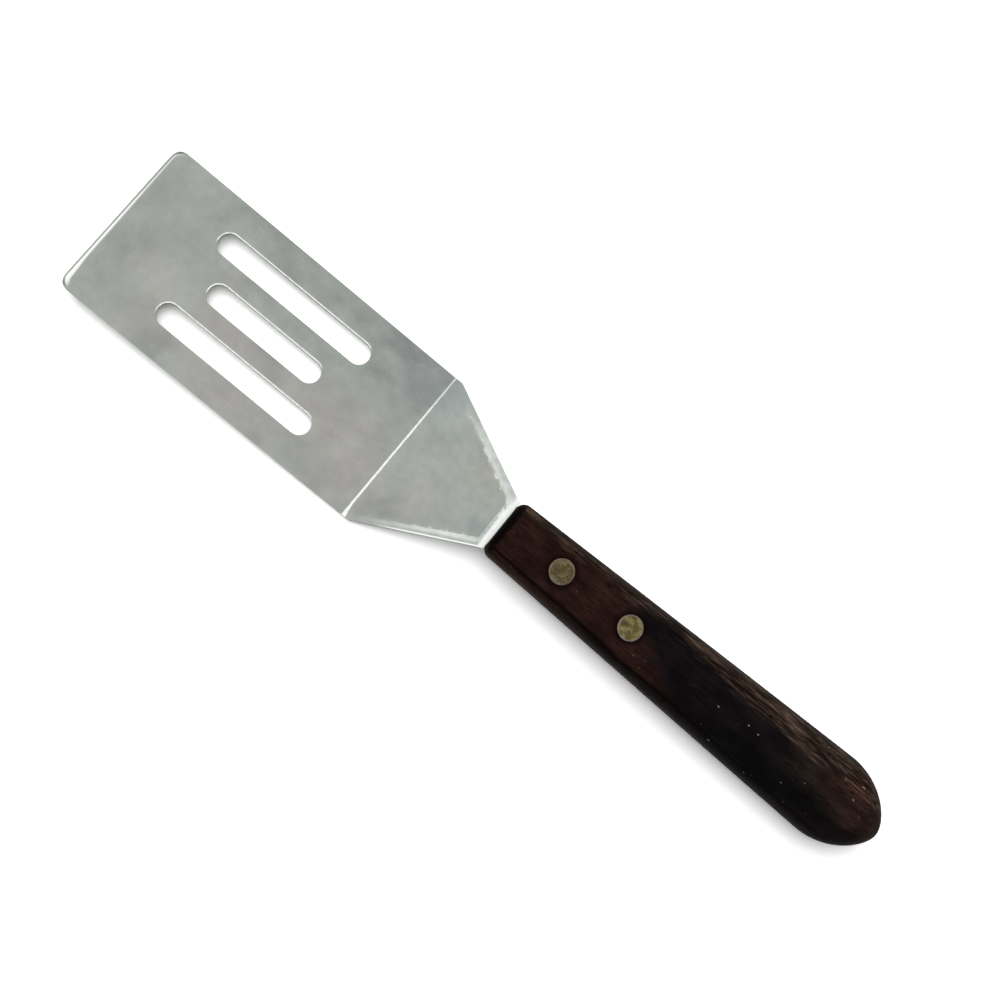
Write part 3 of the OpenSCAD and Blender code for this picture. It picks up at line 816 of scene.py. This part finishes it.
# Streaks and fibres change the tone, most of all in the painted sheen band. So do wide blotches, and the
# rivets' rings of painted shade.
contrast = ramp(tree, far_sheen, 0, 1, 0.19, 1)
tone = calc(tree, "MULTIPLY", ramp(tree, streaks, 0.34, 0.66, -0.62, 0.72), contrast)
fibre_low = ramp(tree, far_sheen, 0, 1, 0.83, 0.40)
fibre_high = ramp(tree, far_sheen, 0, 1, 1.19, 1.72)
tone = calc(tree, "MULTIPLY", calc(tree, "ADD", tone, 1.0),
            ramp(tree, fibres, 0.34, 0.66, fibre_low, fibre_high),
            ramp(tree, mottle(tree, place, figure_size, 5, 1.8), 0.36, 0.64, 0.70, 1.32))
for rivet_x in rivet_xs:
    rivet_shade_off = distance(tree, calc(tree, "SUBTRACT", x, rivet_x), y)
    rivet_shade_off = calc(tree, "ADD", rivet_shade_off, calc(tree, "MULTIPLY", wander, 2.5 * mm))
    tone = calc(tree, "MULTIPLY", tone, ramp(tree, rivet_shade_off, 4 * mm, rivet_shade_r, rivet_shade_tone, 1))
color = shade(tree, color, tone)

# Open pores are black, and dust has filled some of them: short flecks, and smaller and longer ones.
pores = ramp(tree, mottle(tree, place, pore_w, 2, 10), 0.61, 0.68)
color = mix(tree, pores, color, pore_black)
dusty = 0.0
for pitch, stretch, radius in ((2.9 * mm, 1.6, fleck_r), (2.3 * mm, 5, 0.6 * fleck_r)):
    spread = {"Vector": place, "Scale": (stretch, 1, 1), "Location": (0, 0, 40 * mm)}
    spread = add(tree, "Mapping", spread, vector_type="TEXTURE").outputs["Vector"]
    cells = add(tree, "TexVoronoi", {"Vector": spread, "Scale": 1 / pitch}).outputs
    fleck = sway(tree, cells["Distance"], fibres, 1.2 * radius / pitch)
    fleck = ramp(tree, fleck, radius / pitch, 0.5 * radius / pitch)
    filled = calc(tree, "POWER", add(tree, "SeparateXYZ", {"Vector": cells["Color"]}).outputs["X"], 3.0)
    dusty = calc(tree, "MAXIMUM", dusty, calc(tree, "MULTIPLY", fleck, ramp(tree, filled, 0, 0.8, 0.05, 1)))
dusty = calc(tree, "MULTIPLY", dusty, ramp(tree, x, 45 * mm, 88 * mm, 0.12, 0.9),
             ramp(tree, x, butt_x - 4 * mm, butt_x - 12 * mm))
color = mix(tree, dusty, color, pale_dust)

# End grain is darkest all round the front end. A spot high on the butt's tip is as dark.
front_end = sway(tree, x, fibres, 2 * mm)
color = mix(tree, ramp(tree, front_end, handle_x + 2.6 * mm, handle_x + 1.6 * mm), color, end_grain)
tip_off = distance(tree, calc(tree, "SUBTRACT", x, butt_x - 1.2 * mm), calc(tree, "SUBTRACT", y, 0.6 * mm))
tip_off = distance(tree, tip_off, calc(tree, "MULTIPLY", calc(tree, "SUBTRACT", z, tang_z + 2 * mm), 0.7))
tip_off = calc(tree, "ADD", tip_off, calc(tree, "MULTIPLY", ragged, 2 * mm))
color = mix(tree, ramp(tree, tip_off, tip_r, 1.5 * mm), color, end_grain)

shader = tree.nodes["Principled BSDF"]
tree.links.new(color, shader.inputs["Base Color"])
tree.links.new(ramp(tree, streaks, 0.3, 0.7, 0.5, 0.62), shader.inputs["Roughness"])
shader.inputs["Specular IOR Level"].default_value = wood_specular
relief = calc(tree, "SUBTRACT", calc(tree, "MULTIPLY", fibres, 0.4), pores)
bump = add(tree, "Bump", {"Height": relief, "Strength": 0.35, "Distance": 0.08 * mm})
tree.links.new(bump.outputs["Normal"], shader.inputs["Normal"])
handle.data.materials.clear()
handle.data.materials.append(wood)
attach(handle, "root")
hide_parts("handle")

# Two brass compression rivets hold the handle on the tang. Each is a solid shank pressed into a tubular one,
# and both halves have flat heads that were filed nearly flush and have tarnished.
rivet_rim = 0.35 * mm
rivet_pin_d = 3 * mm
shank_room = 0.6 * mm
head_crown = 0.06 * mm
filed_r = 0.08 * mm
filed_a = radians(30)
spin_steps = 72
pit_size = 0.42 * mm
pit_share = 0.8
pit_tone = 0.4
blotch_size = 1.8 * mm
filed_share = 0.75
stain_lead = 0.33
stain_outer = 0.22
stain_inner = 0.05
stain_tone = 0.5
rim_drift = 0.3 * mm
zinc_grey = (0.30, 0.26, 0.25)

# Each rivet has the colour of its tarnish, the colour where it is filed, and how pale its rim is.
old_brass = {
    "front": ((0.152, 0.118, 0.056), (0.32, 0.27, 0.160), 0.45),
    "rear": ((0.175, 0.140, 0.055), (0.44, 0.385, 0.175), 0.9),
}


def rivet_half(name, x, side):
    """Turn one half of a rivet: side is 1 for the solid half set from above and -1 for the tubular half."""
    reach = handle_half_t(x) + rivet_proud
    seat = reach - rivet_head_t
    shank_end = shank_room - seat
    head_r = rivet_head_d / 2
    outline = [(0, reach), (head_r / 2, reach - head_crown / 4), (head_r - rivet_rim, reach - head_crown),
               (head_r, reach - rivet_rim), (head_r, seat)]
    if side > 0:
        outline += [(rivet_pin_d / 2, seat), (rivet_pin_d / 2, shank_end), (0, shank_end)]
    else:
        outline += [(rivet_tube_d / 2, seat), (rivet_tube_d / 2, shank_end), (rivet_pin_d / 2, shank_end),
                    (rivet_pin_d / 2, seat), (0, seat)]
    bm = bmesh.new()
    points = [bm.verts.new((r, 0, height)) for r, height in outline]
    edges = [bm.edges.new(pair) for pair in zip(points, points[1:])]
    bmesh.ops.spin(bm, geom=points + edges, cent=(0, 0, 0), axis=(0, 0, 1), angle=2 * pi, steps=spin_steps,
                   use_merge=True, dvec=(0, 0, 0))
    bmesh.ops.remove_doubles(bm, verts=bm.verts, dist=touching)
    bmesh.ops.scale(bm, verts=bm.verts, vec=(1, 1, side))
    bmesh.ops.translate(bm, verts=bm.verts, vec=(x, 0, tang_z))
    bmesh.ops.recalc_face_normals(bm, faces=bm.faces)
    for face in bm.faces:
        face.smooth = True
    for edge in bm.edges:
        edge.smooth = edge.calc_face_angle(0) < filed_a
    mesh = bpy.data.meshes.new(name)
    bm.to_mesh(mesh)
    bm.free()
    half = bpy.data.objects.new(name, mesh)
    scene.collection.objects.link(half)
    edge_round = half.modifiers.new("filed_edges", "BEVEL")
    edge_round.width = filed_r
    edge_round.segments = 2
    edge_round.angle_limit = filed_a
    edge_round.harden_normals = True
    return half


for (name, (tarnish, filed, paleness)), x_place in zip(old_brass.items(), rivet_xs):
    brass = bpy.data.materials.new(name + "_rivet_brass")
    brass.use_nodes = True
    tree = brass.node_tree
    place = add(tree, "TexCoord").outputs["Object"]
    centred = add(tree, "Mapping", {"Vector": place, "Location": (-x_place, 0, 0)}).outputs["Vector"]
    x, y = add(tree, "SeparateXYZ", {"Vector": centred}).outputs[:2]
    pits = ramp(tree, mottle(tree, place, pit_size, 3), 0.52, 0.64)
    blotches = ramp(tree, mottle(tree, place, blotch_size, 4), 0.38, 0.62)
    color = mix(tree, calc(tree, "MULTIPLY", blotches, filed_share), tarnish, filed)
    color = mix(tree, calc(tree, "MULTIPLY", pits, pit_share), color, [pit_tone * part for part in tarnish])
    stain_off = distance(tree, calc(tree, "ADD", x, stain_lead * rivet_head_d), y)
    stained = ramp(tree, stain_off, stain_outer * rivet_head_d, stain_inner * rivet_head_d)
    stained = calc(tree, "MULTIPLY", stained, 0.7 * paleness + 0.1)
    color = mix(tree, stained, color, [stain_tone * part for part in tarnish])
    off = sway(tree, distance(tree, x, y), blotches, rim_drift)
    pale_rim = calc(tree, "MULTIPLY", ramp(tree, off, 0.40 * rivet_head_d, 0.46 * rivet_head_d),
                    ramp(tree, y, 0.1 * rivet_head_d, -0.25 * rivet_head_d, 0.45, 1))
    color = mix(tree, calc(tree, "MULTIPLY", pale_rim, paleness), color, zinc_grey)
    shader = tree.nodes["Principled BSDF"]
    tree.links.new(color, shader.inputs["Base Color"])
    tree.links.new(ramp(tree, blotches, 0, 1, 0.5, 0.38), shader.inputs["Roughness"])
    shader.inputs["Metallic"].default_value = 1
    relief = calc(tree, "MULTIPLY", pits, -1.0)
    bump = add(tree, "Bump", {"Height": relief, "Strength": 0.5, "Distance": 0.06 * mm})
    tree.links.new(bump.outputs["Normal"], shader.inputs["Normal"])
    for half_name, side in (("upper", 1), ("lower", -1)):
        node = name + "_rivet_" + half_name
        half = rivet_half(node + "_brass", x_place, side)
        half.data.materials.append(brass)
        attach(half, "root")
        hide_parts(node)
